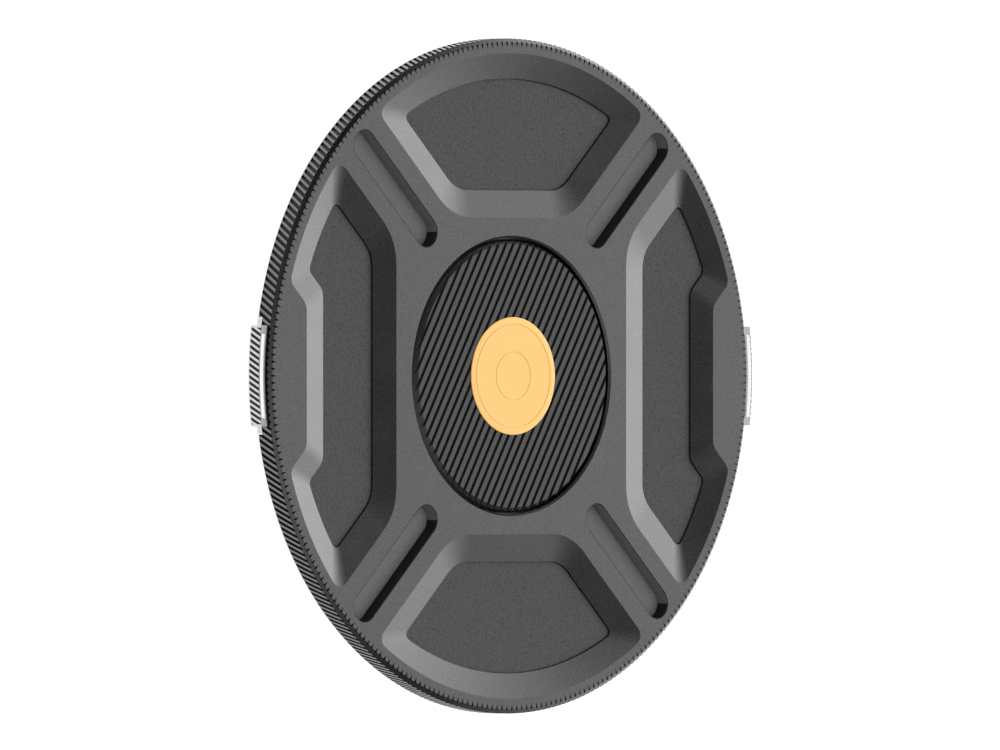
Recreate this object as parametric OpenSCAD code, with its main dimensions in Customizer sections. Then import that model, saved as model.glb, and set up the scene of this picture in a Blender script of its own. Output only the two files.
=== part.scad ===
// Round push-on cap for the front of a screw-in photographic filter.
// It lies on its back: +Z is the front face's normal, the axis of the cap is
// the Z axis, and the two release tabs stand on the X axis.
// A depth is measured down from the flat front face.

/* [Face and rim] */
// Outer diameter over the knurled rim
rim_d = 90; // [80:0.5:100]
// Thickness of the rim, front face to the seat that meets the filter
rim_t = 2.9; // [2.8:0.1:3.4]
// Radial width of the chamfer between the face and the knurled rim
rim_chamfer_w = 0.57; // [0.3:0.01:0.8]
// Depth of that chamfer
rim_chamfer_d = 0.38; // [0.3:0.01:0.5]

/* [Pockets] */
// Depth of the bevelled pockets, where their slopes end
pocket_d = 0.66; // [0.4:0.02:0.8]
// How far each inlay lies below the end of the slopes
inlay_drop = 0.3; // [0.1:0.05:0.4]
// Thickness of an inlay
inlay_t = 0.5; // [0.3:0.05:0.5]
// Gap all round each inlay
inlay_gap = 0.05; // [0.03:0.01:0.1]

/* [Slots] */
// Width of the four blind slots
slot_w = 3.96; // [3:0.02:4]
// Depth of the slots
slot_d = 1.95; // [1:0.05:2]

/* [Medallion] */
// Radius of the round recess in the middle of the face
recess_r = 18.71; // [18:0.01:19]
// Depth of that recess
recess_d = 1.5; // [1.2:0.05:1.6]
// Bevel round the edge of the recess
recess_bevel = 0.28; // [0.1:0.01:0.3]
// Outer radius of the ribbed disc in the recess
medallion_r = 18.25; // [17:0.05:18.3]
// How far the ribs of that disc stand above the face
medallion_rise = 0.12; // [0:0.01:0.14]
// Radial width of the chamfer at its edge
medallion_chamfer = 0.7; // [0.2:0.01:0.8]
// Depth of that chamfer
medallion_chamfer_d = 0.72; // [0.2:0.01:0.8]
// Distance from rib to rib
rib_pitch = 1.197; // [1:0.001:1.6]
// How far the first groove is off the middle, as a part of that distance
rib_shift = 0.24; // [0:0.01:1]
// Width of the groove between two ribs
groove_w = 0.42; // [0.3:0.01:0.6]
// Depth of the grooves
groove_d = 0.4; // [0.3:0.05:0.7]
// Angle of the ribs from the X axis
rib_angle = 60; // [0:5:90]
// Diameter of the plain badge in the middle
badge_d = 15.7; // [10:0.1:18]
// How far the badge stands above the face
badge_t = 0.25; // [0.2:0.05:0.5]

/* [Release tabs] */
// Outer radius of the knurled bar of a tab
tab_r = 46.36; // [46.2:0.02:47]
// Half of the bar's length
tab_half = 6.67; // [5:0.01:7]
// Depth of the bar's front surface below the face
tab_front_d = 0.65; // [0.6:0.05:0.9]
// Depth of the bar's back surface
tab_back_d = 2.55; // [2.3:0.01:2.6]
// Inner radius of the window through the bar
window_r0 = 45.52; // [45.4:0.02:45.7]
// Outer radius of the window
window_r1 = 46.08; // [46:0.02:46.1]
// Half of the window's length
window_half = 5.54; // [4:0.02:5.6]
// Half of the width of the slot that a tab's plate moves in
notch_half = 7.72; // [7.4:0.01:8]
// Inner radius of the bar, just clear of the rim
bar_in = 45.12; // [45.08:0.02:45.2]
// How far a tab can be pressed in
tab_travel = 1.1; // [0.6:0.1:1.2]

/* [Housing] */
// Radius of the land that centres the cap in the filter
spigot_r = 40.3; // [40.1:0.05:40.35]
// Length of that land, from the seat back
land_l = 0.75; // [0.6:0.05:0.8]
// Radius of the rest of the spigot, clear of the filter's thread
relief_r = 39.8; // [39.6:0.05:39.8]
// Length of the spigot behind the seat
spigot_h = 3.6; // [3.4:0.1:3.6]
// Thickness of the housing's floor
floor_t = 0.9; // [0.7:0.05:1]
// Radius over the teeth of the catches
catch_r = 41.1; // [40.8:0.05:41.2]
// Pitch of the catch teeth, that of the filter's thread
tooth_pitch = 0.75; // [0.75:0.25:1]

/* [Springs] */
// Wire diameter of the return springs
wire_d = 0.3; // [0.2:0.05:0.4]
// Outer diameter of the springs
spring_d = 2.0; // [1.8:0.1:2.1]
// Turns of each spring, its closed ends included
spring_turns = 7; // [5:1:9]

/* [Hidden] */
$fn = 96;

rim_r = rim_d / 2;
seat_z = spigot_h;               // the rim's back surface
face_z = spigot_h + rim_t;       // the flat front face
ribs_z = face_z + medallion_rise; // the tops of the ribs
inlay_top_d = pocket_d + inlay_drop;
inlay_bed_d = inlay_top_d + inlay_t;
pocket_r = 43.0;                 // arc of the pockets' outer edges
bed_r = 39.65;                   // arc where the slopes end
plate_z0 = seat_z + 0.05;        // the tab's slide plate
plate_z1 = face_z - 2.02;
plate_in = 34.8;                 // the plate's inner end
plate_half = notch_half - 0.1;
channel_in = plate_in - tab_travel - 0.4;
wall_r = 38.6;                   // inside of the housing's wall
gate_half = 8.8;                 // gates in that wall, for the catches
catch_half = 9.8;
catch_in = 30;
spring_wall = 22.5;              // the housing's spring seats
spring_y = 6.3;
spring_z = (floor_t + seat_z) / 2;
seat_bore = 1.5;                 // depth of the spring bores in a catch
spring_l = catch_in + seat_bore - spring_wall;
screw_r = 0.8;                   // housing screws
screw_holes = [[26.5, 24.4], [15.4, 15.4]];
tab_screw_at = [36.6, 4.8];
medal_screw_r = 1.0;

// ---- outlines --------------------------------------------------------

// Corner at b between a and c, eased over a length u towards a and v towards c
function eased(a, b, c, u, v, n = 8) =
  let (p = b + (a - b) * u / norm(a - b), q = b + (c - b) * v / norm(c - b))
  [for (i = [0:n]) let (t = i / n)
    (1 - t) * (1 - t) * p + 2 * t * (1 - t) * b + t * t * q];

// Points on a circle about the axis, from angle a0 to a1
function arc_points(r, a0, a1, n = 12) =
  [for (i = [0:n]) let (a = a0 + (a1 - a0) * i / n) [r * cos(a), r * sin(a)]];

// Where a circle of radius r about the axis meets the line y = x + k, x > 0
function meets(r, k) =
  let (x = (-k + sqrt(2 * r * r - k * k)) / 2) [x, x + k];

function flip_x(pts) = [for (i = [len(pts) - 1:-1:0]) [-pts[i][0], pts[i][1]]];
function flip_y(pts) = [for (i = [len(pts) - 1:-1:0]) [pts[i][0], -pts[i][1]]];
function angle_of(p) = atan2(p[1], p[0]);

// Top pocket: an arc outside, a straight inner edge, and diagonals y = x + k
function top_half(r, k, y0, u, w) =
  let (a = meets(r, k), b = [y0 - k, y0], aa = angle_of(a),
       da = u / r * 180 / PI, e = [r * cos(aa + da), r * sin(aa + da)])
  concat(
    [for (p = eased([0, y0], b, a, w, w)) p],
    [for (p = eased(b, a, e, u, norm(a - e))) p],
    [for (i = [1:11]) let (g = aa + da + (90 - aa - da) * i / 12)
      [r * cos(g), r * sin(g)]]);
function top_outline(r, k, y0, u, w) =
  let (h = top_half(r, k, y0, u, w)) concat(h, [[0, r]], flip_x(h));

// Side pocket: straight inner edge x = x0, diagonal y = x + k to a tip, the
// arc, then a step y = x + m in to the edge x = x1 beside the tab
function side_half(r, k, m, x0, x1, u, w, s, q) =
  let (tip = meets(r, k), knee = meets(r, m), b = [x0, x0 + k],
       step = [x1, x1 + m], at = angle_of(tip), ak = angle_of(knee),
       dt = u / r * 180 / PI, dk = s / r * 180 / PI,
       e = [r * cos(at - dt), r * sin(at - dt)],
       f = [r * cos(ak + dk), r * sin(ak + dk)])
  concat(
    [for (p = eased([x0, 0], b, tip, w, w)) p],
    [for (p = eased(b, tip, e, u, norm(tip - e))) p],
    [for (i = [1:7]) let (g = at - dt + (ak + dk - at + dt) * i / 8)
      [r * cos(g), r * sin(g)]],
    [for (p = eased(f, knee, step, norm(knee - f), s)) p],
    [for (p = eased(knee, step, [x1, 0], q, q)) p]);
function side_outline(r, k, m, x0, x1, u, w, s, q) =
  let (h = side_half(r, k, m, x0, x1, u, w, s, q), o = concat(h, flip_y(h)))
  [for (i = [len(o) - 1:-1:0]) o[i]];

top_edge = top_outline(pocket_r, 10, 21.1, 1.9, 3.6);
top_bed = top_outline(bed_r, 14.85, 24.75, 1.3, 2.1);
side_edge = side_outline(pocket_r, -3.5, -28.7, 21.56, 38.13, 2.0, 3.5, 1.0, 0.9);
side_bed = side_outline(bed_r, -9.0, -23.2, 25.3, 34.5, 1.3, 2.1, 0.8, 0.9);

// Solid between the outline a at height z0 and the outline b at z1
module loft(a, b, z0, z1) {
  n = len(a);
  polyhedron(
    points = concat([for (p = a) [p[0], p[1], z0]],
                    [for (p = b) [p[0], p[1], z1]]),
    faces = concat(
      [[for (i = [0:n - 1]) i]],
      [[for (i = [n - 1:-1:0]) n + i]],
      [for (i = [0:n - 1]) let (j = (i + 1) % n) each
        [[j, i, n + i], [n + i, n + j, j]]]),
    convexity = 4);
}

// Cutter of one pocket: the slopes, carried on above the face, and the bed
module pocket_cut(edge, bed) {
  over = 0.2;
  // the slopes go on outwards above the face
  up = [for (i = [0:len(edge) - 1])
    edge[i] + (edge[i] - bed[i]) * over / pocket_d];
  loft(bed, up, face_z - pocket_d, face_z + over);
  translate([0, 0, face_z - inlay_bed_d])
    linear_extrude(inlay_bed_d - pocket_d + 0.02) polygon(bed);
}

module inlay(bed) {
  translate([0, 0, face_z - inlay_bed_d])
    linear_extrude(inlay_t) offset(delta = -inlay_gap) polygon(bed);
}

module slot_cut() {
  a = [15.91, 19.03];
  b = [27.36, 30.48];
  l = norm(b - a);
  translate([a[0], a[1], face_z - slot_d]) rotate(45) {
    cylinder(r = slot_w / 2, h = slot_d + 1);
    translate([l, 0, 0]) cylinder(r = slot_w / 2, h = slot_d + 1);
    translate([0, -slot_w / 2, 0]) cube([l, slot_w, slot_d + 1]);
  }
}

// Ring about the axis, as a plain tube
module tube(r0, r1, z0, z1) {
  translate([0, 0, z0]) difference() {
    cylinder(r = r1, h = z1 - z0, $fn = 240);
    translate([0, 0, -1]) cylinder(r = r0, h = z1 - z0 + 2, $fn = 240);
  }
}

// Places something at the left or the right tab
module at_side(side) {
  if (side == "right") children(); else mirror([1, 0, 0]) children();
}

// Space for one tab: the pocket under the rim's front lip that its bar sinks
// into, and the channel for its slide plate
module tab_cut() {
  intersection() {
    tube(43.8, rim_r + 2, seat_z - 1, face_z - 0.58);
    translate([40, -tab_half - 0.07, 0]) cube([10, 2 * tab_half + 0.14, 20]);
  }
  translate([channel_in, -notch_half, seat_z - 1])
    cube([12, 2 * notch_half, plate_z1 + 0.05 - seat_z + 1]);
}

// ---- front ------------------------------------------------------------

module front_shell() {
  color("#46464a") difference() {
    rotate_extrude($fn = 240) polygon([
      [0, seat_z], [rim_r - 0.15, seat_z], [rim_r, seat_z + 0.15],
      [rim_r, face_z - rim_chamfer_d], [rim_r - rim_chamfer_w, face_z],
      [0, face_z]]);
    pocket_cut(top_edge, top_bed);
    mirror([0, 1, 0]) pocket_cut(top_edge, top_bed);
    pocket_cut(side_edge, side_bed);
    mirror([1, 0, 0]) pocket_cut(side_edge, side_bed);
    slot_cut();
    mirror([1, 0, 0]) slot_cut();
    mirror([0, 1, 0]) slot_cut();
    mirror([1, 0, 0]) mirror([0, 1, 0]) slot_cut();
    rotate_extrude($fn = 180) polygon([
      [0, face_z - recess_d], [recess_r - recess_bevel, face_z - recess_d],
      [recess_r - recess_bevel, face_z - recess_bevel], [recess_r + 0.5, face_z + 0.5],
      [0, face_z + 0.5]]);
    tab_cut();
    mirror([1, 0, 0]) tab_cut();
    // hole for the screw that holds the ribbed disc
    translate([0, 0, seat_z - 1]) cylinder(r = medal_screw_r + 0.1, h = 5);
    // blind threaded holes for the housing screws
    for (p = screw_holes, sx = [-1, 1], sy = [-1, 1])
      translate([sx * p[0], sy * p[1], seat_z - 1]) cylinder(r = screw_r, h = 2.4);
  }
}

module inlay_top() { color("#3a3a3a") inlay(top_bed); }
module inlay_bottom() { color("#3a3a3a") mirror([0, 1, 0]) inlay(top_bed); }
module inlay_right() { color("#3a3a3a") inlay(side_bed); }
module inlay_left() { color("#3a3a3a") mirror([1, 0, 0]) inlay(side_bed); }

module ribbed_medallion() {
  z0 = face_z - recess_d;
  count = ceil(medallion_r / rib_pitch);
  color("#3c3c3e") difference() {
    rotate_extrude($fn = 180) polygon([
      [0, z0], [medallion_r, z0], [medallion_r, ribs_z - medallion_chamfer_d],
      [medallion_r - medallion_chamfer, ribs_z], [0, ribs_z]]);
    rotate(rib_angle) for (i = [-count:count])
      translate([-25, (i + rib_shift) * rib_pitch - groove_w / 2, ribs_z - groove_d])
        cube([50, groove_w, 2]);
    translate([0, 0, z0 - 1]) cylinder(r = medal_screw_r, h = 1.9);
  }
}

module badge_disc() {
  color("#f2c684") translate([0, 0, face_z]) rotate_extrude($fn = 120)
    polygon([[0, medallion_rise], [badge_d / 2, medallion_rise], [badge_d / 2, badge_t - 0.06],
      [badge_d / 2 - 0.06, badge_t], [0, badge_t]]);
}

// Screw on the axis z, head down, with a cross recess. hr, hh: head
module screw(r, l, hr, hh) {
  difference() {
    union() {
      cylinder(r = hr, h = hh);
      translate([0, 0, hh - 0.01]) cylinder(r = r, h = l + 0.01);
    }
    for (a = [0, 90]) rotate(a)
      translate([-hr * 0.6, -hr * 0.13, -1]) cube([hr * 1.2, hr * 0.26, 1 + hh * 0.55]);
  }
}

module medallion_screw() {
  color("silver") translate([0, 0, seat_z - 0.8])
    screw(medal_screw_r - 0.02, 2.2, 1.9, 0.8);
}

// ---- back -------------------------------------------------------------

// Boss for a housing screw
module boss() { cylinder(r = 1.9, h = seat_z - 0.1); }
module boss_hole() {
  translate([0, 0, -1]) cylinder(r = screw_r + 0.1, h = 10);
  translate([0, 0, -1]) cylinder(r = 1.6, h = 1.7);
}

// Guides and spring seats for the right-hand catch
module catch_guides() {
  for (s = [-1, 1]) translate([spring_wall - 1.5, s > 0 ? catch_half + 0.15 : -catch_half - 1.55, floor_t - 0.1])
    cube([15.5, 1.4, seat_z - floor_t + 0.1]);
  translate([spring_wall - 1.5, -catch_half - 0.2, floor_t - 0.1])
    cube([1.5, 2 * catch_half + 0.4, seat_z - floor_t + 0.1]);
  // pegs that the springs sit on
  for (s = [-1, 1]) translate([spring_wall - 0.1, s * spring_y, spring_z])
    rotate([0, 90, 0]) cylinder(r = 0.5, h = 2.6, $fn = 32);
}

module rear_housing() {
  color("#1d1d1f") difference() {
    union() {
      difference() {
        rotate_extrude($fn = 240) polygon([
          [0, 0], [relief_r - 0.4, 0], [relief_r, 0.4],
          [relief_r, seat_z - land_l - 0.2], [spigot_r, seat_z - land_l],
          [spigot_r, seat_z], [wall_r, seat_z], [wall_r, floor_t], [0, floor_t]]);
        // gates for the catches
        for (side = ["left", "right"]) at_side(side)
          translate([34, -gate_half, floor_t]) cube([10, 2 * gate_half, 10]);
      }
      for (side = ["left", "right"]) at_side(side) catch_guides();
      for (p = screw_holes, sx = [-1, 1], sy = [-1, 1])
        translate([sx * p[0], sy * p[1], 0]) boss();
    }
    for (p = screw_holes, sx = [-1, 1], sy = [-1, 1])
      translate([sx * p[0], sy * p[1], 0]) boss_hole();
    // shallow round panel in the back surface
    translate([0, 0, -1]) cylinder(r = 12, h = 1.25, $fn = 120);
  }
}

module seal_ring() {
  color("#101010") rotate_extrude($fn = 240) polygon([
    [41.3, seat_z], [41.3, seat_z - 0.3], [41.45, seat_z - 0.42],
    [43.35, seat_z - 0.42], [43.5, seat_z - 0.3], [43.5, seat_z]]);
}

module housing_screws() {
  color("silver") for (p = screw_holes, sx = [-1, 1], sy = [-1, 1])
    translate([sx * p[0], sy * p[1], 0.1]) screw(screw_r - 0.02, 4.2, 1.45, 0.6);
}

// ---- release tabs -------------------------------------------------------

// Knurled bar with its window, and the plate that slides under the rim
module release_tab() {
  difference() {
    union() {
      intersection() {
        tube(bar_in, tab_r, face_z - tab_back_d, face_z - tab_front_d);
        translate([40, -tab_half, 0]) cube([10, 2 * tab_half, 20]);
      }
      // web between the bar and the plate
      intersection() {
        tube(44.6, 45.3, face_z - tab_back_d, plate_z1);
        translate([40, -tab_half, 0]) cube([10, 2 * tab_half, 20]);
      }
      // slide plate, flush with the rim
      intersection() {
        translate([0, 0, plate_z0])
          cylinder(r = rim_r, h = plate_z1 - plate_z0, $fn = 240);
        translate([plate_in, -plate_half, 0]) cube([20, 2 * plate_half, 20]);
      }
    }
    intersection() {
      tube(window_r0, window_r1, 0, 20);
      translate([40, -window_half, 0]) cube([10, 2 * window_half, 20]);
    }
    for (s = [-1, 1]) translate([tab_screw_at[0], s * tab_screw_at[1], 0]) {
      cylinder(r = 0.7, h = 20, $fn = 32);
      translate([0, 0, plate_z1 - 0.4]) cylinder(r = 1.3, h = 2, $fn = 32);
    }
  }
}

// Moulded catch under the plate, with its row of teeth
module catch() {
  half_a = asin((gate_half - 0.3) / catch_r);
  difference() {
    union() {
      translate([catch_in, -catch_half, floor_t + 0.05])
        cube([7.1, 2 * catch_half, seat_z - floor_t - 0.15]);
      // pad that carries the plate
      translate([plate_in, -7.4, floor_t + 0.05])
        cube([3.2, 14.8, plate_z0 - floor_t - 0.05]);
      rotate(-half_a) rotate_extrude(angle = 2 * half_a, $fn = 240) polygon(concat(
        [[36.9, floor_t + 0.15], [relief_r, floor_t + 0.15]],
        [for (i = [0:1]) let (z = floor_t + 0.2 + i * tooth_pitch) each
          [[relief_r, z], [catch_r, z + 0.28], [catch_r, z + 0.40], [relief_r, z + 0.68]]],
        [[relief_r, seat_z - 0.15], [36.9, seat_z - 0.15]]));
    }
    for (s = [-1, 1]) {
      translate([catch_in - 1, s * spring_y, spring_z]) rotate([0, 90, 0])
        cylinder(r = spring_d / 2 + 0.1, h = 1 + seat_bore, $fn = 32);
      translate([tab_screw_at[0], s * tab_screw_at[1], 1.4])
        cylinder(r = 0.6, h = 10, $fn = 32);
    }
  }
}

module tab_screws() {
  for (s = [-1, 1]) translate([tab_screw_at[0], s * tab_screw_at[1], plate_z1])
    mirror([0, 0, 1]) screw(0.58, 2.4, 1.25, 0.4);
}

module release_tab_left() { color("#c8c8ca") at_side("left") release_tab(); }
module release_tab_right() { color("#c8c8ca") at_side("right") release_tab(); }
module catch_left() { color("#242426") at_side("left") catch(); }
module catch_right() { color("#242426") at_side("right") catch(); }
module tab_screws_left() { color("silver") at_side("left") tab_screws(); }
module tab_screws_right() { color("silver") at_side("right") tab_screws(); }

// ---- springs ------------------------------------------------------------

// How far along its length a spring is after t turns: closed at both ends
function along(t, n, l) =
  let (e = wire_d * 1.15, free = l - wire_d - 2 * e)
  t < 1 ? e * t : t > n - 1 ? l - wire_d - e * (n - t)
        : e + free * (t - 1) / (n - 2);

module coil_spring(l) {
  steps = 10;
  sides = 6;
  n = spring_turns * steps;
  mean_r = (spring_d - wire_d) / 2;
  pts = [for (i = [0:n]) let (a = 360 * i / steps,
      x = wire_d / 2 + along(i / steps, spring_turns, l))
    for (k = [0:sides - 1]) let (b = 360 * k / sides,
      r = mean_r + wire_d / 2 * cos(b)) [x + wire_d / 2 * sin(b), r * cos(a), r * sin(a)]];
  polyhedron(points = pts, faces = concat(
    [[for (k = [0:sides - 1]) k]],
    [[for (k = [sides - 1:-1:0]) n * sides + k]],
    [for (i = [0:n - 1], k = [0:sides - 1])
      let (a = i * sides + k, b = i * sides + (k + 1) % sides) each
      [[a, a + sides, b], [b, a + sides, b + sides]]]), convexity = 10);
}

module placed_spring(side, s) {
  color("#b8b8bc") at_side(side)
    translate([spring_wall + 0.02, s * spring_y, spring_z]) coil_spring(spring_l - 0.04);
}
module spring_left_upper() { placed_spring("left", 1); }
module spring_left_lower() { placed_spring("left", -1); }
module spring_right_upper() { placed_spring("right", 1); }
module spring_right_lower() { placed_spring("right", -1); }

front_shell();
inlay_top();
inlay_bottom();
inlay_left();
inlay_right();
ribbed_medallion();
badge_disc();
medallion_screw();
rear_housing();
seal_ring();
housing_screws();
release_tab_left();
release_tab_right();
catch_left();
catch_right();
tab_screws_left();
tab_screws_right();
spring_left_upper();
spring_left_lower();
spring_right_upper();
spring_right_lower();
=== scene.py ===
import math

import bmesh
import bpy
import numpy as np
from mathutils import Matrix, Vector


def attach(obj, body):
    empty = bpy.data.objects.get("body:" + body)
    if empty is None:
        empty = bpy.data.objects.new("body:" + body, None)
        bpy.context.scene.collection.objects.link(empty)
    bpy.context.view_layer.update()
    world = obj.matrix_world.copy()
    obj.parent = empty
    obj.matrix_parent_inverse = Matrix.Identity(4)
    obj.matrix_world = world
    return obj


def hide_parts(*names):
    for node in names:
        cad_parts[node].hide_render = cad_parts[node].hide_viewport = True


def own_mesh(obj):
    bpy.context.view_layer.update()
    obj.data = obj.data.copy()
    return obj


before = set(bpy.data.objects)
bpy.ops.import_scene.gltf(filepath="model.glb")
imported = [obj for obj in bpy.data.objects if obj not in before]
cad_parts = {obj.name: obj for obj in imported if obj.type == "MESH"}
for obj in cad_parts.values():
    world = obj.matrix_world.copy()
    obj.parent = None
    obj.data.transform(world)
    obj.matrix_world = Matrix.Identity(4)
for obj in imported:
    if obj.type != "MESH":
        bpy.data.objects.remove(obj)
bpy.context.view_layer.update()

# Shapes are worked out in millimetres and scaled to metres when a piece is done.
MM = 0.001
FACE = 6.5        # z of the flat front face
RIBS = 6.62       # z of the tops of the medallion's ribs
SEAT = 3.6        # z of the rim's back surface
RIM = 45.0        # radius over the knurl
CH_W, CH_D = 0.57, 0.38   # chamfer of the rim
TEETH = 300       # grooves round the rim
PITCH = 2 * math.pi / TEETH


# ---------------------------------------------------------------- mesh tools

class Soup:
    """Closed shells gathered into one mesh; each is turned so that it faces out."""

    def __init__(self):
        self.v, self.f = [], []

    def add(self, verts, faces):
        verts = [tuple(float(c) for c in p) for p in verts]
        if volume(verts, faces) < 0:
            faces = [tuple(reversed(f)) for f in faces]
        n = len(self.v)
        self.v += verts
        self.f += [tuple(i + n for i in f) for f in faces]

    def object(self, name):
        me = bpy.data.meshes.new(name)
        me.from_pydata(self.v, [], self.f)
        me.update()
        ob = bpy.data.objects.new(name, me)
        bpy.context.scene.collection.objects.link(ob)
        return ob


def volume(verts, faces):
    v = np.array(verts, float)
    total = 0.0
    for f in faces:
        a = v[f[0]]
        for i in range(1, len(f) - 1):
            total += float(np.dot(a, np.cross(v[f[i]], v[f[i + 1]])))
    return total


def revolve(soup, profile, n, phase=0.0):
    """profile is a closed polygon of (r, z); points on the axis become single vertices."""
    verts, rows = [], []
    for r, z in profile:
        if r < 1e-9:
            rows.append([len(verts)] * n)
            verts.append((0, 0, z))
        else:
            rows.append([len(verts) + i for i in range(n)])
            verts += [(r * math.cos(phase + 2 * math.pi * i / n),
                       r * math.sin(phase + 2 * math.pi * i / n), z) for i in range(n)]
    faces = []
    for a, b in zip(rows, rows[1:] + rows[:1]):
        if a[0] == a[1] and b[0] == b[1]:
            continue
        for i in range(n):
            j = (i + 1) % n
            ring = [a[i], a[j], b[j], b[i]]
            face = [k for q, k in enumerate(ring) if k != ring[q - 1]]
            if len(face) > 2:
                faces.append(tuple(face))
    soup.add(verts, faces)


def loft(soup, low, high, z0, z1):
    n = len(low)
    verts = [(x, y, z0) for x, y in low] + [(x, y, z1) for x, y in high]
    faces = [tuple(range(n - 1, -1, -1)), tuple(range(n, 2 * n))]
    faces += [(i, (i + 1) % n, n + (i + 1) % n, n + i) for i in range(n)]
    soup.add(verts, faces)


def prism(soup, outline, z0, z1):
    loft(soup, outline, outline, z0, z1)


def sections(soup, rings):
    """Closed solid through rings of points, all with the same count."""
    n = len(rings[0])
    verts = [p for ring in rings for p in ring]
    faces = [tuple(range(n)), tuple(reversed(range(len(verts) - n, len(verts))))]
    for k in range(len(rings) - 1):
        for i in range(n):
            j = (i + 1) % n
            a = k * n
            faces.append((a + j, a + i, a + n + i, a + n + j))
    soup.add(verts, faces)


def circle(x, y, r, n=64):
    return [(x + r * math.cos(2 * math.pi * i / n), y + r * math.sin(2 * math.pi * i / n))
            for i in range(n)]


def boolean(target, cutter, operation="DIFFERENCE"):
    before = len(target.data.polygons)
    for solver in ("MANIFOLD", "EXACT"):
        m = target.modifiers.new("cut", "BOOLEAN")
        m.operation, m.solver, m.object = operation, solver, cutter
        dg = bpy.context.evaluated_depsgraph_get()
        me = bpy.data.meshes.new_from_object(target.evaluated_get(dg))
        target.modifiers.clear()
        if len(me.polygons) > 3 and len(me.polygons) != before:
            break
    old, target.data = target.data, me
    bpy.data.meshes.remove(old)
    bpy.data.objects.remove(cutter)
    return target


def done(ob, angle=7.0, weld=2e-4):
    """Cleans the mesh, smooths what is flatter than angle and scales it to metres."""
    bm = bmesh.new()
    bm.from_mesh(ob.data)
    if weld:
        bmesh.ops.remove_doubles(bm, verts=bm.verts, dist=weld)
        bmesh.ops.dissolve_degenerate(bm, edges=bm.edges, dist=weld)
    limit = math.radians(angle)
    for f in bm.faces:
        f.smooth = True
    for e in bm.edges:
        e.smooth = len(e.link_faces) == 2 and e.calc_face_angle(0.0) < limit
    bmesh.ops.scale(bm, vec=(MM, MM, MM), verts=bm.verts)
    bm.to_mesh(ob.data)
    bm.free()
    ob.data.update()
    return ob


# ------------------------------------------------------------------ outlines

def eased(a, b, c, u, v, n=20):
    a, b, c = np.array(a, float), np.array(b, float), np.array(c, float)
    p = b + (a - b) * u / np.linalg.norm(a - b)
    q = b + (c - b) * v / np.linalg.norm(c - b)
    out = []
    for i in range(n + 1):
        t = i / n
        out.append(tuple((1 - t) ** 2 * p + 2 * t * (1 - t) * b + t * t * q))
    return out


def meets(r, k):
    x = (-k + math.sqrt(2 * r * r - k * k)) / 2
    return (x, x + k)


def on_circle(r, deg):
    return (r * math.cos(math.radians(deg)), r * math.sin(math.radians(deg)))


def angle_of(p):
    return math.degrees(math.atan2(p[1], p[0]))


def dist(a, b):
    return math.hypot(a[0] - b[0], a[1] - b[1])


def flip_x(pts):
    return [(-x, y) for x, y in reversed(pts)]


def flip_y(pts):
    return [(x, -y) for x, y in reversed(pts)]


def top_outline(r, k, y0, u, w, arc=48):
    a, b = meets(r, k), (y0 - k, y0)
    aa = angle_of(a)
    da = math.degrees(u / r)
    e = on_circle(r, aa + da)
    half = eased((0, y0), b, a, w, w) + eased(b, a, e, u, dist(a, e))
    half += [on_circle(r, aa + da + (90 - aa - da) * i / arc) for i in range(1, arc)]
    return half + [(0.0, r)] + flip_x(half)


def side_outline(r, k, m, x0, x1, u, w, s, q, arc=40):
    tip, knee = meets(r, k), meets(r, m)
    b, step = (x0, x0 + k), (x1, x1 + m)
    at, ak = angle_of(tip), angle_of(knee)
    dt, dk = math.degrees(u / r), math.degrees(s / r)
    e, f = on_circle(r, at - dt), on_circle(r, ak + dk)
    half = eased((x0, 0), b, tip, w, w) + eased(b, tip, e, u, dist(tip, e))
    half += [on_circle(r, at - dt + (ak + dk - at + dt) * i / arc) for i in range(1, arc)]
    half += eased(f, knee, step, dist(knee, f), s) + eased(knee, step, (x1, 0), q, q)
    out = half + flip_y(half)
    return list(reversed(out))


TOP_EDGE = top_outline(43.0, 10, 21.1, 1.9, 3.6)
TOP_BED = top_outline(39.65, 14.85, 24.75, 1.3, 2.1)
SIDE_EDGE = side_outline(43.0, -3.5, -28.7, 21.56, 38.13, 2.0, 3.5, 1.0, 0.9)
SIDE_BED = side_outline(39.65, -9.0, -23.2, 25.3, 34.5, 1.3, 2.1, 0.8, 0.9)
POCKET_D, INLAY_TOP_D, BED_D = 0.66, 0.96, 1.46


def mirrored(pts, sx, sy):
    return [(sx * x, sy * y) for x, y in pts]


# ----------------------------------------------------------------- materials

def material(name, colour, rough, metal, spec=0.5, coat=0.0, sheen=0.0):
    m = bpy.data.materials.new(name)
    m.use_nodes = True
    nt = m.node_tree
    p = nt.nodes["Principled BSDF"]
    p.inputs["Base Color"].default_value = (*colour, 1)
    p.inputs["Roughness"].default_value = rough
    p.inputs["Metallic"].default_value = metal
    p.inputs["Specular IOR Level"].default_value = spec
    p.inputs["Coat Weight"].default_value = coat
    p.inputs["Sheen Weight"].default_value = sheen
    return m, nt, p


def place(nt):
    return nt.nodes.new("ShaderNodeTexCoord").outputs["Object"]


def noise(nt, at, size_mm, detail=3.0, rough=0.5, distort=0.0):
    n = nt.nodes.new("ShaderNodeTexNoise")
    n.inputs["Scale"].default_value = 1.0 / (size_mm * MM)
    n.inputs["Detail"].default_value = detail
    n.inputs["Roughness"].default_value = rough
    n.inputs["Distortion"].default_value = distort
    nt.links.new(at, n.inputs["Vector"])
    return n.outputs["Fac"]


def ramp(nt, value, stops):
    r = nt.nodes.new("ShaderNodeValToRGB")
    el = r.color_ramp.elements
    while len(el) < len(stops):
        el.new(0.5)
    for e, (at, c) in zip(el, stops):
        e.position = at
        e.color = (c, c, c, 1) if isinstance(c, float) else (*c, 1)
    nt.links.new(value, r.inputs["Fac"])
    return r.outputs["Color"]


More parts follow.
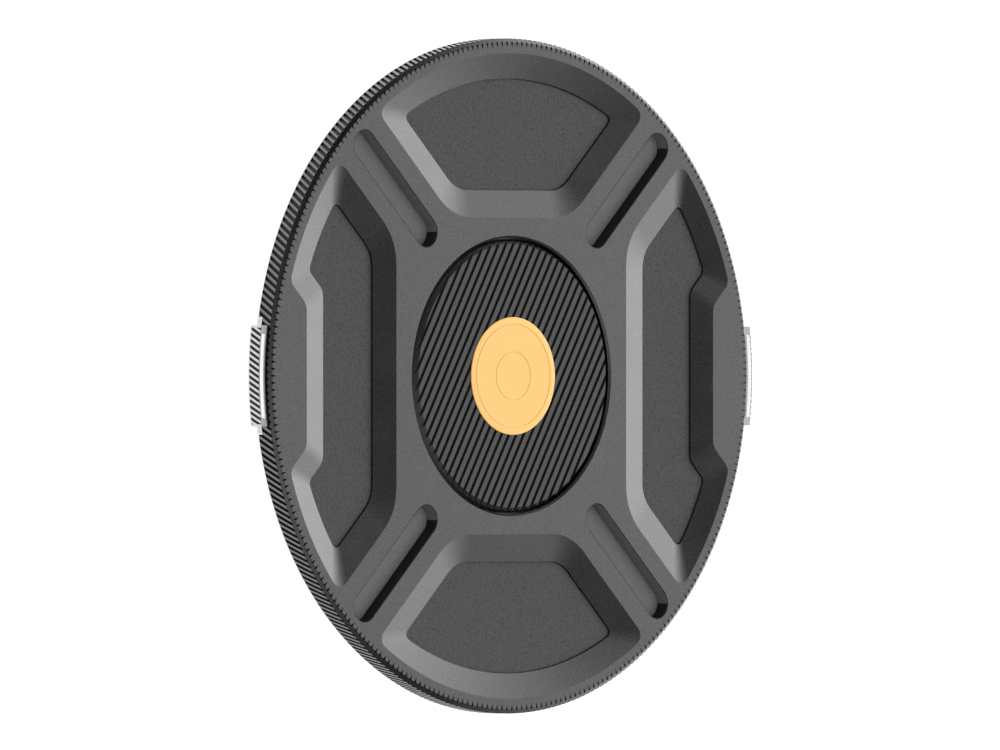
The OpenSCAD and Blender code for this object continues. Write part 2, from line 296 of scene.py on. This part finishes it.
def span(nt, value, low, high, lo_in=0.0, hi_in=1.0):
    r = nt.nodes.new("ShaderNodeMapRange")
    r.inputs["From Min"].default_value = lo_in
    r.inputs["From Max"].default_value = hi_in
    r.inputs["To Min"].default_value = low
    r.inputs["To Max"].default_value = high
    nt.links.new(value, r.inputs["Value"])
    return r.outputs["Result"]


def bump(nt, p, height, depth_mm, strength=1.0, before=None):
    b = nt.nodes.new("ShaderNodeBump")
    b.inputs["Strength"].default_value = strength
    b.inputs["Distance"].default_value = depth_mm * MM
    nt.links.new(height, b.inputs["Height"])
    if before is not None:
        nt.links.new(before, b.inputs["Normal"])
    nt.links.new(b.outputs["Normal"], p.inputs["Normal"])
    return b.outputs["Normal"]


def metal_like(name, low, high, rough, metal=1.0, grain=0.09, depth=0.0022, spec=0.5):
    """Blasted and anodised or plated metal: a fine even grain, with a faint cloudiness."""
    m, nt, p = material(name, high, rough, metal, spec)
    at = place(nt)
    fine = noise(nt, at, grain, 2.0, 0.6)
    cloud = noise(nt, at, 6.0, 2.0, 0.5)
    nt.links.new(ramp(nt, fine, [(0.3, low), (0.7, high)]), p.inputs["Base Color"])
    mixed = nt.nodes.new("ShaderNodeMath")
    mixed.operation = "ADD"
    nt.links.new(span(nt, cloud, -0.025, 0.025, 0.3, 0.7), mixed.inputs[0])
    nt.links.new(span(nt, fine, rough - 0.04, rough + 0.04, 0.3, 0.7), mixed.inputs[1])
    nt.links.new(mixed.outputs[0], p.inputs["Roughness"])
    bump(nt, p, fine, depth)
    return m


M_SHELL = metal_like("anodised_shell", (0.135, 0.135, 0.137), (0.180, 0.180, 0.183), 0.28, grain=0.2, depth=0.002)
# painted shade: a near-black copy of the shell's anodising for the rim's grooves and ticks, where shade falls
M_RIM_GROOVE_SHADE = metal_like("rim_groove_painted_shade", (0.022, 0.022, 0.023), (0.034, 0.034, 0.035), 0.45)
M_DISC = metal_like("anodised_disc", (0.095, 0.095, 0.097), (0.135, 0.135, 0.137), 0.28, grain=0.2, depth=0.002)
M_TAB = metal_like("silver_tab", (0.50, 0.50, 0.505), (0.56, 0.56, 0.565), 0.30, grain=0.07, depth=0.0012)
# painted shade: a near-black copy of the tab's silver for the tabs' knurl grooves
M_TAB_GROOVE_SHADE = metal_like("tab_groove_painted_shade", (0.022, 0.022, 0.023), (0.034, 0.034, 0.035), 0.42, grain=0.07)
# painted light: a near-white mirror for the walls of the tabs' windows, standing in for the white floor seen through
# them
M_WINDOW_PAINTED_LIGHT = metal_like("window_painted_light", (0.95, 0.95, 0.95), (0.98, 0.98, 0.98), 0.14, grain=0.05, depth=0.0003)
M_STEEL = metal_like("screw_steel", (0.42, 0.42, 0.43), (0.55, 0.55, 0.56), 0.28, grain=0.05, depth=0.0008)
M_SPRING = metal_like("spring_steel", (0.50, 0.50, 0.50), (0.62, 0.62, 0.62), 0.22, grain=0.03, depth=0.0005)


def gold():
    m, nt, p = material("gold_badge", (0.91, 0.555, 0.19), 0.42, 0.45)
    at = place(nt)
    fine = noise(nt, at, 0.12, 2.0, 0.6)
    nt.links.new(ramp(nt, fine, [(0.3, (0.90, 0.549, 0.188)), (0.7, (0.92, 0.561, 0.192))]), p.inputs["Base Color"])
    nt.links.new(span(nt, fine, 0.40, 0.44, 0.3, 0.7), p.inputs["Roughness"])
    bump(nt, p, fine, 0.0012)
    return m


def leather():
    """Pebble-grained sheet of the inlays."""
    m, nt, p = material("inlay_grain", (0.05, 0.05, 0.05), 0.62, 0.0, 0.4)
    at = place(nt)
    cells = nt.nodes.new("ShaderNodeTexVoronoi")
    cells.feature = "SMOOTH_F1"
    cells.inputs["Scale"].default_value = 1 / (0.28 * MM)
    cells.inputs["Smoothness"].default_value = 0.6
    nt.links.new(at, cells.inputs["Vector"])
    wob = noise(nt, at, 0.18, 3.0, 0.6)
    tone = span(nt, cells.outputs["Distance"], 1.0, 0.0, 0.1, 0.75)
    add = nt.nodes.new("ShaderNodeMath")
    add.operation = "ADD"
    nt.links.new(tone, add.inputs[0])
    nt.links.new(wob, add.inputs[1])
    nt.links.new(ramp(nt, add.outputs[0], [(0.35, (0.0285, 0.0285, 0.0285)), (1.0, (0.049, 0.049, 0.049))]),
                 p.inputs["Base Color"])
    nt.links.new(span(nt, wob, 0.55, 0.70, 0.3, 0.7), p.inputs["Roughness"])
    bump(nt, p, add.outputs[0], 0.03)
    return m


def plastic(name, colour, rough, grain, depth):
    m, nt, p = material(name, colour, rough, 0.0, 0.45)
    at = place(nt)
    fine = noise(nt, at, grain, 3.0, 0.6)
    light = tuple(c * 1.25 for c in colour)
    dark = tuple(c * 0.8 for c in colour)
    nt.links.new(ramp(nt, fine, [(0.3, dark), (0.7, light)]), p.inputs["Base Color"])
    nt.links.new(span(nt, fine, rough - 0.07, rough + 0.07, 0.3, 0.7), p.inputs["Roughness"])
    bump(nt, p, fine, depth)
    return m


M_GOLD = gold()
M_SLOT_FLOOR = plastic("slot_floor", (0.112, 0.112, 0.113), 0.7, 0.25, 0.002)
# painted light and painted shade: lit and shaded copies of one slot-wall finish, the lighter for walls facing +x+y or
# -x-y, the near-black for the rest
M_SLOT_PAINTED_LIGHT = plastic("slot_side_painted_light", (0.125, 0.125, 0.125), 0.6, 0.2, 0.001)
M_SLOT_PAINTED_SHADE = plastic("slot_side_painted_shade", (0.006, 0.006, 0.006), 0.6, 0.2, 0.001)
# painted shade: near-black for the floors and walls of the medallion's rib grooves
M_DISC_GROOVE_SHADE = plastic("disc_groove_painted_shade", (0.020, 0.020, 0.020), 0.6, 0.2, 0.001)
M_INLAY = leather()
M_HOUSING = plastic("housing_plastic", (0.036, 0.036, 0.038), 0.50, 0.18, 0.012)
M_CATCH = plastic("catch_plastic", (0.048, 0.048, 0.050), 0.42, 0.25, 0.006)
# the seal's black rubber; also used as painted shade on the slots' broken edges that face +X
M_SEAL_AND_EDGE_SHADE = plastic("seal_rubber_and_edge_shade", (0.016, 0.016, 0.016), 0.72, 0.12, 0.008)


def dress(ob, mat):
    ob.data.materials.clear()
    ob.data.materials.append(mat)


def tone(ob, mat, test):
    """Gives mat to the faces for whose middle (in mm) and normal the test holds."""
    ob.data.materials.append(mat)
    k = len(ob.data.materials) - 1
    for f in ob.data.polygons:
        c = f.center / MM
        if test(math.hypot(c.x, c.y), c.x, c.y, c.z, f.normal):
            f.material_index = k


def piece(ob, mat, body, slot, *stands_for):
    dress(ob, mat)
    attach(ob, body)
    if stands_for:
        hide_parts(*stands_for)
    return ob


# --------------------------------------------------------------- front shell

def slot_outline(grow=0.0, n=40):
    a, b, r = (16.01, 19.13), (27.43, 30.55), 3.96 / 2 + grow
    out = [(b[0] + r * math.cos(math.radians(-45 + 180 * i / n)),
            b[1] + r * math.sin(math.radians(-45 + 180 * i / n))) for i in range(n + 1)]
    out += [(a[0] + r * math.cos(math.radians(135 + 180 * i / n)),
             a[1] + r * math.sin(math.radians(135 + 180 * i / n))) for i in range(n + 1)]
    return out


def sector(r0, r1, half, n=60):
    """Outline of the ring between r0 and r1 where |y| < half, x > 0."""
    a0, a1 = math.asin(half / r0), math.asin(half / r1)
    out = [(r1 * math.cos(-a1 + 2 * a1 * i / n), r1 * math.sin(-a1 + 2 * a1 * i / n)) for i in range(n + 1)]
    out += [(r0 * math.cos(a0 - 2 * a0 * i / n), r0 * math.sin(a0 - 2 * a0 * i / n)) for i in range(n + 1)]
    return out


HELIX = 0.600 * PITCH           # radians a millimetre of height
PHASE = math.radians(-0.408)    # of the grooves, at the height of the face
TICK_PHASE = math.radians(-0.02)


def groove_ring(r_top, depth, width, floor, phi, z, radius):
    """Cross-section of a groove cutter: width across at the surface, floor at the bottom."""
    over = 0.35
    wide = width / 2 + over * (width - floor) / 2 / max(depth, 1e-6)
    pts = [(-wide, over), (-floor / 2, -depth), (floor / 2, -depth), (wide, over)]
    return [((radius + h) * math.cos(phi + t / radius), (radius + h) * math.sin(phi + t / radius), z)
            for t, h in pts]


def rim_grooves():
    s = Soup()
    z0, z1 = SEAT + 0.12, FACE - CH_D - 0.07
    depth, width, floor = 0.27, 0.53, 0.32
    for k in range(TEETH):
        rings = []
        steps = [(0.0, 0.12), (0.03, 0.5), (0.08, 0.78), (0.15, 0.95), (0.25, 1.0)]
        steps += [(0.25 + (z1 - z0 - 0.25) * i / 6, 1.0) for i in range(1, 7)]
        steps += [(z1 - z0 + 0.07, 0.85), (z1 - z0 + 0.15, 0.5), (z1 - z0 + 0.25, 0.1)]
        for dz, f in steps:
            z = z0 + dz
            phi = PHASE + k * PITCH + HELIX * (z - FACE)
            rings.append(groove_ring(RIM, depth * f, width * f, floor * f, phi, z, RIM))
        sections(s, rings)
    return s.object("grooves")


def rim_ticks():
    s = Soup()
    up = 0.05
    for k in range(TEETH):
        phi = TICK_PHASE + k * PITCH
        c, n = math.cos(phi), math.sin(phi)
        tip, out, half, deep = 43.78, 44.95, 0.32, 0.19
        g = up / deep * 1.0
        pts = [(tip - (out - tip) * g, 0, FACE + up), (out, half * (1 + g), FACE + up),
               (out, -half * (1 + g), FACE + up), (out, 0, FACE - deep)]
        verts = [(r * c - t * n, r * n + t * c, z) for r, t, z in pts]
        s.add(verts, [(0, 1, 2), (0, 3, 1), (0, 2, 3), (1, 3, 2)])
    return s.object("ticks")


def front_shell():
    s = Soup()
    revolve(s, [(0, SEAT), (RIM - 0.15, SEAT), (RIM, SEAT + 0.15), (RIM, FACE - CH_D),
                (RIM - CH_W, FACE), (0, FACE)], 720)
    ob = s.object("front_shell_knurled")

    cut = Soup()
    over = 0.2
    for edge, bed, turns in ((TOP_EDGE, TOP_BED, ((1, 1), (1, -1))), (SIDE_EDGE, SIDE_BED, ((1, 1), (-1, 1)))):
        up = [(e[0] + (e[0] - b[0]) * over / POCKET_D, e[1] + (e[1] - b[1]) * over / POCKET_D)
              for e, b in zip(edge, bed)]
        for sx, sy in turns:
            loft(cut, mirrored(bed, sx, sy), mirrored(up, sx, sy), FACE - POCKET_D, FACE + over)
    for sx in (1, -1):
        for sy in (1, -1):
            prism(cut, mirrored(slot_outline(), sx, sy), FACE - 1.95, FACE + 1)
    revolve(cut, [(0, FACE - 1.5), (18.43, FACE - 1.5), (18.43, FACE - 0.28), (19.21, FACE + 0.5),
                  (0, FACE + 0.5)], 240)
    boolean(ob, cut.object("cut1"))

    cut = Soup()
    for bed, turns in ((TOP_BED, ((1, 1), (1, -1))), (SIDE_BED, ((1, 1), (-1, 1)))):
        for sx, sy in turns:
            prism(cut, mirrored(bed, sx, sy), FACE - BED_D, FACE - POCKET_D + 0.02)
    for sx in (1, -1):
        prism(cut, [(sx * x, y) for x, y in sector(43.8, RIM + 2, 6.74)], SEAT - 1, FACE - 0.58)
        for sy in (1, -1):
            # broken edge of the slots
            loft(cut, mirrored(slot_outline(), sx, sy), mirrored(slot_outline(0.78), sx, sy),
                 FACE - 0.04, FACE + 0.2)
    prism(cut, circle(0, 0, 1.1, 48), SEAT - 1, FACE)
    for hx, hy in ((26.5, 24.4), (15.4, 15.4)):
        for sx in (1, -1):
            for sy in (1, -1):
                prism(cut, circle(sx * hx, sy * hy, 0.8, 32), SEAT - 1, SEAT + 1.4)
    boolean(ob, cut.object("cut2"))

    cut = Soup()
    for sx in (1, -1):
        x0, x1, h = sx * 33.3, sx * 46.5, 7.72
        prism(cut, [(x0, -h), (x1, -h), (x1, h), (x0, h)], SEAT - 1, 4.53)
    boolean(ob, cut.object("cut3"))

    boolean(ob, rim_grooves())
    boolean(ob, rim_ticks())
    return done(ob)


def in_rim_groove(r, x, y, z, n):
    surface = RIM - max(0.0, z - (FACE - CH_D)) * CH_W / CH_D
    if not (44.5 < r < surface - 0.012 and SEAT + 0.05 < z < FACE - 0.05):
        return False
    if abs(y) < 6.76 and z < FACE - 0.57:
        return False
    return not (abs(y) < 7.75 and z < 4.54)


def in_rim_tick(r, x, y, z, n):
    return 43.55 < r < 44.8 and FACE - 0.3 < z < FACE - 0.004 and r - 44.43 < (FACE - z) * CH_W / CH_D - 0.01


def in_slot(r, x, y, z, n):
    along, across = (abs(x) + abs(y)) / math.sqrt(2), (abs(y) - abs(x) - 3.12) / math.sqrt(2)
    return abs(across) < 2.14 and 22.4 < along < 43.2 and FACE - 2 < z < FACE - 0.005


shell = piece(front_shell(), M_SHELL, "cap", "anodised_shell", "front_shell")
# painted shade in the rim's grooves and ticks
tone(shell, M_RIM_GROOVE_SHADE, lambda *a: in_rim_groove(*a) or in_rim_tick(*a))
# painted shade: every slot face near-black first
tone(shell, M_SLOT_PAINTED_SHADE, in_slot)
# painted light on the slot walls whose normals point to +x+y or -x-y
tone(shell, M_SLOT_PAINTED_LIGHT, lambda *a: in_slot(*a) and abs(a[4].z) < 0.3 and a[4].x * a[4].y > 0)
tone(shell, M_SLOT_FLOOR, lambda *a: in_slot(*a) and a[3] < FACE - 1.9 and a[4].z > 0.9)
# painted shade: the slots' broken edges that face +X take the near-black rubber finish
tone(shell, M_SEAL_AND_EDGE_SHADE, lambda *a: in_slot(*a) and a[3] > FACE - 0.1 and 0.5 < a[4].z < 0.995 and a[4].x > 0.1)


# -------------------------------------------------------------- release tabs

def release_tab(name, side):
    s = Soup()
    prism(s, sector(45.12, 46.36, 6.67, 90), FACE - 2.55, FACE - 0.65)
    ob = s.object(name)
    s = Soup()
    prism(s, sector(44.6, 45.3, 6.67, 90), FACE - 2.55, 4.48)
    boolean(ob, s.object("web"), "UNION")
    s = Soup()
    a = math.asin(7.62 / 45.0)
    arc = [(45.0 * math.cos(-a + 2 * a * i / 90), 45.0 * math.sin(-a + 2 * a * i / 90)) for i in range(91)]
    prism(s, [(34.8, -7.62)] + arc + [(34.8, 7.62)], 3.65, 4.48)
    boolean(ob, s.object("plate"), "UNION")
    cut = Soup()
    prism(cut, sector(45.52, 46.08, 5.54, 90), 3.0, 7.0)
    for sy in (1, -1):
        prism(cut, circle(36.6, sy * 4.8, 0.7, 40), 3.0, 4.3)
    boolean(ob, cut.object("cut"))
    cut = Soup()
    for sy in (1, -1):
        prism(cut, circle(36.6, sy * 4.8, 1.3, 48), 4.08, 7.0)
    boolean(ob, cut.object("cut"))
    cut = Soup()
    r, pitch = 46.36, 0.796
    turn = 0.5 / r                       # radians a millimetre of height
    z0, z1 = FACE - 2.55 + 0.10, FACE - 0.65 + 0.3
    for k in range(-9, 10):
        mid = (k * pitch - 0.333) / r
        rings = []
        steps = [(0.0, 0.15), (0.03, 0.5), (0.08, 0.8), (0.16, 1.0)]
        steps += [(0.16 + (z1 - z0 - 0.16) * i / 5, 1.0) for i in range(1, 6)]
        for dz, f in steps:
            z = z0 + dz
            # the bar sits on the +X side here; turned with the helix of the rim
            rings.append(groove_ring(r, 0.09 * f, 0.44 * f, 0.30 * f, mid + turn * (z - (FACE - 1.6)), z, r))
        sections(cut, rings)
    grooves = cut.object("knurl")
    keep = Soup()
    prism(keep, sector(44.0, 48.0, 6.38, 40), 0, 8)
    boolean(grooves, keep.object("keep"), "INTERSECT")
    boolean(ob, grooves)
    if side < 0:
        for v in ob.data.vertices:
            v.co.x, v.co.y = -v.co.x, -v.co.y
    return done(ob)


def in_tab_groove(r, x, y, z, n):
    return 46.12 < r < 46.35 and abs(y) < 6.45 and abs(n.z) < 0.9


def in_window(r, x, y, z, n):
    return 45.4 < r < 46.11 and abs(y) < 5.6 and z > 3.9 and abs(n.z) < 0.5


for side, turned in (("left", -1), ("right", 1)):
    tab = piece(release_tab(f"release_tab_{side}_knurled", turned), M_TAB, f"{side}_release", "tabs",
                f"release_tab_{side}")
    # painted shade in the knurl grooves of the tab
    tone(tab, M_TAB_GROOVE_SHADE, in_tab_groove)
    # painted light: the near-white mirror on the window walls
    tone(tab, M_WINDOW_PAINTED_LIGHT, in_window)


# ----------------------------------------------------- medallion and badge

def medallion():
    s = Soup()
    z0 = FACE - 1.5
    revolve(s, [(0, z0), (18.25, z0), (18.25, RIBS - 0.72), (17.55, RIBS), (0, RIBS)], 360)
    ob = s.object("medallion_ribbed")
    cut = Soup()
    a = math.radians(60)
    u, v = (math.cos(a), math.sin(a)), (-math.sin(a), math.cos(a))
    pitch = 1.197
    count = math.ceil(18.1 / pitch)
    for i in range(-count, count + 1):
        m = (i + 0.24) * pitch
        if abs(m) > 18.3:
            continue
        wide, soft, half = 0.21, 0.05, 25
        shape = [(m - wide - soft - 0.2, RIBS + 0.2), (m - wide - soft, RIBS), (m - wide, RIBS - soft),
                 (m - wide, RIBS - 0.4), (m + wide, RIBS - 0.4), (m + wide, RIBS - soft),
                 (m + wide + soft, RIBS), (m + wide + soft + 0.2, RIBS + 0.2)]
        sections(cut, [[(u[0] * e + v[0] * t, u[1] * e + v[1] * t, z) for t, z in shape] for e in (-half, half)])
    boolean(ob, cut.object("ribs"))
    hole = Soup()
    prism(hole, circle(0, 0, 1.0, 48), z0 - 1, z0 + 0.9)
    boolean(ob, hole.object("hole"))
    return done(ob)


def in_rib_groove(r, x, y, z, n):
    return r < 18.2 and FACE - 0.5 < z < RIBS - 0.03 and (n.z > 0.95 or abs(n.z) < 0.3)


disc = piece(medallion(), M_DISC, "cap", "anodised_disc", "ribbed_medallion")
# painted shade in the rib grooves of the medallion
tone(disc, M_DISC_GROOVE_SHADE, in_rib_groove)


def badge():
    s = Soup()
    r, t = 7.85, 0.25
    prof = [(0, RIBS), (r, RIBS)]
    prof += [(r - 0.06 + 0.06 * math.cos(math.radians(15 * i)), FACE + t - 0.06 + 0.06 * math.sin(math.radians(15 * i)))
             for i in range(7)]
    for ring in (6.9, 3.2):
        prof += [(ring + 0.07, FACE + t), (ring + 0.05, FACE + t - 0.07),
                 (ring - 0.05, FACE + t - 0.07), (ring - 0.07, FACE + t)]
    prof += [(0, FACE + t)]
    revolve(s, prof, 360)
    return done(s.object("badge_gold"), angle=20)


piece(badge(), M_GOLD, "cap", "badge", "badge_disc")


# ------------------------------------------------------------------- springs

def coil(name, sx, sy):
    wire, outer, turns = 0.3, 2.0, 7
    length, start = 30 + 1.5 - 22.5 - 0.04, 22.52
    e = wire * 1.15
    free = length - wire - 2 * e

    def along(t):
        if t < 1:
            return e * t
        if t > turns - 1:
            return length - wire - e * (turns - t)
        return e + free * (t - 1) / (turns - 2)

    mean, per, sides = (outer - wire) / 2, 36, 12
    zc = (0.9 + 3.6) / 2
    rings = []
    for i in range(turns * per + 1):
        a = 2 * math.pi * i / per
        x = start + wire / 2 + along(i / per)
        ring = []
        for k in range(sides):
            b = 2 * math.pi * k / sides
            r = mean + wire / 2 * math.cos(b)
            ring.append((sx * (x + wire / 2 * math.sin(b)), sy * 6.3 + r * math.cos(a), zc + r * math.sin(a)))
        rings.append(ring)
    s = Soup()
    sections(s, rings)
    return done(s.object(name), angle=40)


for side, sx in (("left", -1), ("right", 1)):
    for row, sy in (("upper", 1), ("lower", -1)):
        ob = coil(f"coil_{side}_{row}", sx, sy)
        piece(ob, M_SPRING, "cap", "springs", f"spring_{side}_{row}")
        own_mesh(ob)


# ------------------------------------------------- CAD nodes with their finish

for node, mat in (("inlay_top", M_INLAY), ("inlay_bottom", M_INLAY), ("inlay_left", M_INLAY),
                  ("inlay_right", M_INLAY), ("rear_housing", M_HOUSING), ("seal_ring", M_SEAL_AND_EDGE_SHADE),
                  ("catch_left", M_CATCH), ("catch_right", M_CATCH), ("medallion_screw", M_STEEL),
                  ("housing_screws", M_STEEL), ("tab_screws_left", M_STEEL), ("tab_screws_right", M_STEEL)):
    dress(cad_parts[node], mat)


# ------------------------------------------------------- floor, light, camera

def floor():
    bm = bmesh.new()
    n, size = 24, 3.0
    bmesh.ops.create_grid(bm, x_segments=n, y_segments=n, size=size)
    me = bpy.data.meshes.new("floor")
    bm.to_mesh(me)
    bm.free()
    ob = bpy.data.objects.new("floor", me)
    bpy.context.scene.collection.objects.link(ob)
    ob.location.z = -0.00002
    # lit from below like a light table; clear from its back and under the middle of the cap
    m, nt, p = material("floor_white", (0.28, 0.28, 0.28), 0.9, 0.0, 0.0)
    at = place(nt)
    nt.links.new(ramp(nt, noise(nt, at, 40.0, 2.0), [(0.3, (0.278, 0.278, 0.278)), (0.7, (0.282, 0.282, 0.282))]),
                 p.inputs["Base Color"])
    p.inputs["Emission Color"].default_value = (1, 1, 1, 1)
    p.inputs["Emission Strength"].default_value = 0.96
    clear = nt.nodes.new("ShaderNodeBsdfTransparent")
    length = nt.nodes.new("ShaderNodeVectorMath")
    length.operation = "LENGTH"
    nt.links.new(at, length.inputs[0])
    under = nt.nodes.new("ShaderNodeMath")
    under.operation = "LESS_THAN"
    nt.links.new(length.outputs["Value"], under.inputs[0])
    under.inputs[1].default_value = 0.041
    geometry = nt.nodes.new("ShaderNodeNewGeometry")
    either = nt.nodes.new("ShaderNodeMath")
    either.operation = "MAXIMUM"
    nt.links.new(under.outputs[0], either.inputs[0])
    nt.links.new(geometry.outputs["Backfacing"], either.inputs[1])
    mix = nt.nodes.new("ShaderNodeMixShader")
    nt.links.new(either.outputs[0], mix.inputs[0])
    nt.links.new(p.outputs[0], mix.inputs[1])
    nt.links.new(clear.outputs[0], mix.inputs[2])
    nt.links.new(mix.outputs[0], nt.nodes["Material Output"].inputs["Surface"])
    dress(ob, m)


floor()


def softbox(name, az, el, far, wide, high, radiance, glossy=True, diffuse=True, aim=(0, 0, 0.0065)):
    """A soft light seen from the object at azimuth az from +X and elevation el, of the given radiance."""
    a, e = math.radians(az), math.radians(el)
    d = Vector((math.cos(e) * math.cos(a), math.cos(e) * math.sin(a), math.sin(e)))
    light = bpy.data.lights.new(name, "AREA")
    light.shape = "RECTANGLE"
    light.size, light.size_y = wide, high
    light.energy = radiance * math.pi * wide * high
    ob = bpy.data.objects.new(name, light)
    bpy.context.scene.collection.objects.link(ob)
    ob.location = Vector(aim) + d * far
    ob.rotation_mode = "QUATERNION"
    ob.rotation_quaternion = d.to_track_quat("Z", "Y")
    ob.visible_camera = False
    ob.visible_glossy = glossy
    ob.visible_diffuse = diffuse
    return ob


softbox("overhead", 0, 90, 2.0, 3.0, 3.0, 2.2, glossy=False)


def studio():
    """One broad soft light low behind the cap, brightest near the horizon, and a weak one opposite."""
    world = bpy.data.worlds.new("studio")
    bpy.context.scene.world = world
    world.use_nodes = True
    nt = world.node_tree

    def calc(op, *values):
        n = nt.nodes.new("ShaderNodeMath")
        n.operation = op
        for k, v in enumerate(values):
            if isinstance(v, (int, float)):
                n.inputs[k].default_value = v
            else:
                nt.links.new(v, n.inputs[k])
        return n.outputs[0]

    way = nt.nodes.new("ShaderNodeTexCoord").outputs["Generated"]
    parts = nt.nodes.new("ShaderNodeSeparateXYZ")
    nt.links.new(way, parts.inputs[0])
    x, y, z = parts.outputs
    az = calc("ARCTAN2", y, x)
    el = calc("ARCSINE", z)
    off = calc("DIVIDE", calc("SUBTRACT", az, math.radians(8.5)), math.radians(31.0))
    across = calc("EXPONENT", calc("MULTIPLY", calc("MULTIPLY", off, off), -1.0))
    rows = [(-90, 0.4), (-1, 0.4), (0, 4.3), (9, 4.0), (24, 2.8), (28, 2.25), (45, 0.89), (52, 0.36), (57, 0.16),
            (65, 0.04), (75, 0.01), (90, 0.01)]
    top = 5.0
    height = ramp(nt, span(nt, el, 0.0, 1.0, -math.pi / 2, math.pi / 2),
                  [((deg + 90) / 180, v / top) for deg, v in rows])
    key = calc("MULTIPLY", calc("MULTIPLY", across, height), top)
    fa, fe = math.radians(-130), math.radians(60)
    lobe = nt.nodes.new("ShaderNodeVectorMath")
    lobe.operation = "DOT_PRODUCT"
    nt.links.new(way, lobe.inputs[0])
    lobe.inputs[1].default_value = (math.cos(fe) * math.cos(fa), math.cos(fe) * math.sin(fa), math.sin(fe))
    fill = calc("MULTIPLY", calc("EXPONENT", calc("DIVIDE", calc("SUBTRACT", lobe.outputs["Value"], 1.0), 0.13)), 0.50)
    low = calc("DIVIDE", calc("SUBTRACT", el, math.radians(12)), math.radians(11))
    glow = calc("MULTIPLY", calc("EXPONENT", calc("MULTIPLY", calc("MULTIPLY", low, low), -1.0)), 0.2)
    glow = calc("MULTIPLY", glow, calc("SUBTRACT", 1.0, across))
    total = calc("ADD", calc("ADD", key, fill), calc("ADD", glow, span(nt, x, 0.09, 0.02, -0.5, 0.0)))
    # a low band behind the viewer, and light from below for the back
    band = calc("MULTIPLY", span(nt, el, 1.0, 0.0, math.radians(20), math.radians(33)), span(nt, x, 1.0, 0.0, -0.35, 0.05))
    total = calc("ADD", total, calc("MULTIPLY", band, 0.5))
    below = calc("MULTIPLY", span(nt, z, 1.0, 0.0, -0.12, -0.03), calc("ADD", calc("MULTIPLY", y, 0.6), 0.9))
    total = calc("ADD", total, below)

    lit = nt.nodes["Background"]
    nt.links.new(total, lit.inputs["Strength"])
    lit.inputs["Color"].default_value = (1, 1, 1, 1)
    seen = nt.nodes.new("ShaderNodeBackground")
    seen.inputs["Color"].default_value = (1, 1, 1, 1)
    mix = nt.nodes.new("ShaderNodeMixShader")
    nt.links.new(nt.nodes.new("ShaderNodeLightPath").outputs["Is Camera Ray"], mix.inputs[0])
    nt.links.new(lit.outputs[0], mix.inputs[1])
    nt.links.new(seen.outputs[0], mix.inputs[2])
    nt.links.new(mix.outputs[0], nt.nodes["World Output"].inputs["Surface"])


studio()

scene = bpy.context.scene
scene.view_settings.view_transform = "Standard"
scene.view_settings.look = "None"
scene.view_settings.exposure = 0
scene.view_settings.gamma = 1

cam = bpy.data.cameras.new("camera")
cam.type = "PERSP"
cam.sensor_fit = "HORIZONTAL"
cam.sensor_width = 36.0
theta, away = math.radians(44.772), 2.6525
cam.lens = 36.0 / 1000 * 7.5032 * away / MM
cam.shift_x = -(512.00 - 500.0) / 1000
cam.shift_y = (375.97 - 375.0) / 1000
cam.clip_start, cam.clip_end = 0.05, 20
camera = bpy.data.objects.new("camera", cam)
scene.collection.objects.link(camera)
target = Vector((0, 0, FACE * MM))
back_dir = Vector((-math.sin(theta), 0, math.cos(theta)))
camera.location = target + back_dir * away
right, up = Vector((math.cos(theta), 0, math.sin(theta))), Vector((0, 1, 0))
from mathutils import Matrix
camera.rotation_mode = "QUATERNION"
camera.rotation_quaternion = Matrix((right, up, back_dir)).transposed().to_quaternion()
scene.camera = camera
